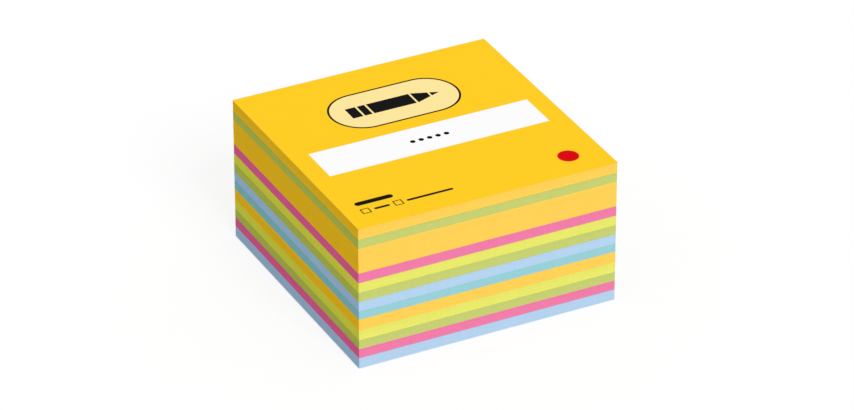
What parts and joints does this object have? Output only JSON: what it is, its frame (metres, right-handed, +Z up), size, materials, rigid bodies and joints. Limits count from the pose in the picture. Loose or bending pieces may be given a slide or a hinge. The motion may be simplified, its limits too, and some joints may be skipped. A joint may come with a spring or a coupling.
{
  "type": "sticky note pad",
  "caption": "Square cube-like pad of low-tack notes in coloured blocks, glued along one edge, with a printed cover sheet and a white backing sheet.",
  "frame": {"origin": "centre of the underside of the backing sheet", "axes": "+Z up through the stack, from the backing sheet to the cover; +Y towards the edge along which the notes are held; -Y towards the front edge, where they lift; +X to the right, seen from the front"},
  "size_m": [0.076, 0.076, 0.0424],
  "materials": {
    "paper_yellow": "uncoated, cut edges",
    "paper_green": "uncoated, cut edges",
    "paper_pink": "uncoated, cut edges",
    "paper_lime": "uncoated, cut edges",
    "paper_light_blue": "uncoated, cut edges",
    "paper_aqua": "uncoated, cut edges",
    "cover_yellow": "smooth printed paper, slight sheen",
    "backing_white": "uncoated",
    "adhesive": "low-tack adhesive, dull"
  },
  "bodies": {
    "root": {"backing_sheet": "backing_white", "adhesive_under_light_blue_block_bottom": "adhesive", "light_blue_block_bottom": "paper_light_blue", "adhesive_under_pink_block_lower": "adhesive", "pink_block_lower": "paper_pink", "adhesive_under_green_block_lower": "adhesive", "green_block_lower": "paper_green", "adhesive_under_lime_block_lower": "adhesive", "lime_block_lower": "paper_lime", "adhesive_under_yellow_block_lower": "adhesive", "yellow_block_lower": "paper_yellow", "adhesive_under_aqua_block": "adhesive", "aqua_block": "paper_aqua", "adhesive_under_light_blue_block_upper": "adhesive", "light_blue_block_upper": "paper_light_blue", "adhesive_under_green_block_middle": "adhesive", "green_block_middle": "paper_green", "adhesive_under_lime_block_upper": "adhesive", "lime_block_upper": "paper_lime", "adhesive_under_pink_block_upper": "adhesive", "pink_block_upper": "paper_pink", "adhesive_under_yellow_block_thick": "adhesive", "yellow_block_thick": "paper_yellow", "adhesive_under_green_block_upper": "adhesive", "green_block_upper": "paper_green", "adhesive_under_yellow_block_top": "adhesive", "yellow_block_top": "paper_yellow", "adhesive_under_cover_sheet": "adhesive", "cover_sheet": "cover_yellow"}
  },
  "joints": []
}
